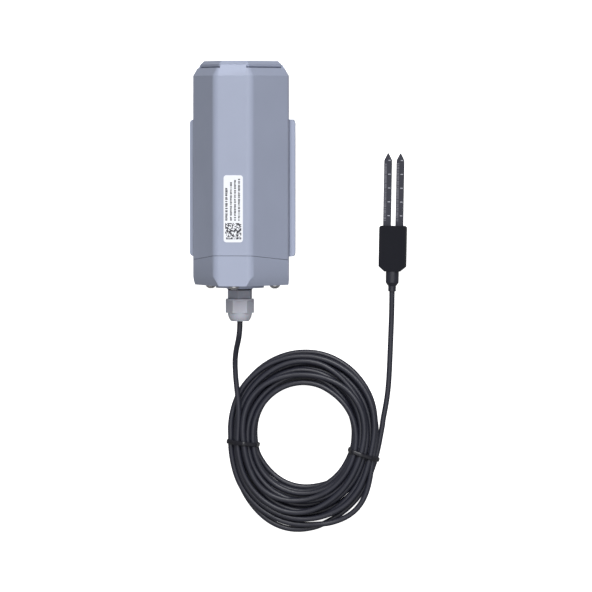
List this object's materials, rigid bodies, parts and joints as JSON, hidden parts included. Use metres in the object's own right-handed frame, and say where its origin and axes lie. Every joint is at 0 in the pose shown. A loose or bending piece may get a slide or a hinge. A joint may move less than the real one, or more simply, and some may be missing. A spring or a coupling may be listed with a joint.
{
  "type": "soil moisture sensor",
  "caption": "Battery radio node in a three-sided housing on a wall cradle, with a cable gland, a tied coil of cable and a flat two-pronged soil probe.",
  "frame": {"origin": "middle of the cradle's back face, on its centre pad, where it meets the wall or the surface it lies on", "axes": "+Z away from the wall, +Y from the gland towards the housing's crown, +X to the right when facing the label"},
  "size_m": [0.1558, 0.3396, 0.067],
  "materials": {
    "shell_plastic": "fine satin moulded plastic",
    "cradle_plastic": "fine satin moulded plastic",
    "gland_nylon": "satin nylon",
    "white_nylon": "satin",
    "label_film": "satin printed film",
    "stainless": "polished",
    "brass": "machined",
    "black_rubber": "matte",
    "seal_rubber": "matte",
    "cable_jacket": "semi-gloss",
    "tie_nylon": "satin",
    "wire_insulation": "gloss",
    "sled_plastic": "satin",
    "board_laminate": "solder mask",
    "shield_can": "satin",
    "antenna_wire": "bright",
    "terminal_green": "satin",
    "led_lens": "clear",
    "part_grey": "satin",
    "part_black": "satin",
    "button_yellow": "satin",
    "cell_sleeve": "shrink sleeve",
    "strap_web": "woven",
    "plug_ivory": "satin",
    "sensor_laminate": "satin coated laminate",
    "probe_plastic": "satin moulded"
  },
  "bodies": {
    "cap_unit": {"end_cap": "shell_plastic", "cap_gasket": "black_rubber", "cap_screws": "stainless", "screw_seals": "black_rubber", "gland_body": "gland_nylon", "gland_oring": "black_rubber", "gland_locknut": "gland_nylon", "gland_seal": "seal_rubber", "inner_cable": "cable_jacket", "terminal_wires": "wire_insulation", "chassis": "sled_plastic", "chassis_screws": "stainless", "main_board": "board_laminate", "board_screws": "stainless", "radio_module": "shield_can", "antenna": "antenna_wire", "terminal_block": "terminal_green", "terminal_screws": "stainless", "status_led": "led_lens", "power_switch": "part_grey", "setup_button": "part_black", "battery": "cell_sleeve", "battery_strap": "strap_web", "battery_plug": "plug_ivory", "battery_leads": "wire_insulation", "sensor_board": "sensor_laminate", "probe_head": "probe_plastic", "probe_boot": "probe_plastic", "cord_lead": "cable_jacket", "cord_coil": "cable_jacket", "cord_tail": "cable_jacket", "coil_ties": "tie_nylon"},
    "shell": {"housing": "shell_plastic", "thread_inserts": "brass", "label": "label_film"},
    "cradle": {"cradle": "cradle_plastic"},
    "gland_travel": {"gland_slip_ring": "white_nylon"},
    "gland_nut": {"gland_nut": "gland_nylon"},
    "switch_slider": {"switch_slider": "part_black"},
    "setup_button": {"button_plunger": "button_yellow"}
  },
  "joints": [
    {"name": "housing_pull", "type": "slide", "parent": "cap_unit", "child": "shell", "axis": [0, 1, 0], "range_m": [0, 0.135]},
    {"name": "cradle_release", "type": "slide", "parent": "shell", "child": "cradle", "axis": [0, -1, 0], "range_m": [0, 0.012]},
    {"name": "gland_nut_travel", "type": "slide", "parent": "cap_unit", "child": "gland_travel", "axis": [0, -1, 0], "range_m": [0, 0.0046]},
    {"name": "gland_nut_turn", "type": "hinge", "parent": "gland_travel", "child": "gland_nut", "pos_m": [0, -0.085, 0.033], "axis": [0, -1, 0], "range_deg": [0, 1080]},
    {"name": "power_switch_slide", "type": "slide", "parent": "cap_unit", "child": "switch_slider", "axis": [1, 0, 0], "range_m": [0, 0.002]},
    {"name": "setup_button_press", "type": "slide", "parent": "cap_unit", "child": "setup_button", "axis": [0, 0, -1], "range_m": [0, 0.0004], "stiffness_N_per_m": 800}
  ],
  "couplings": [
    {"joint": "gland_nut_travel", "follows": "gland_nut_turn", "m_per_rad": 0.00023873}
  ]
}
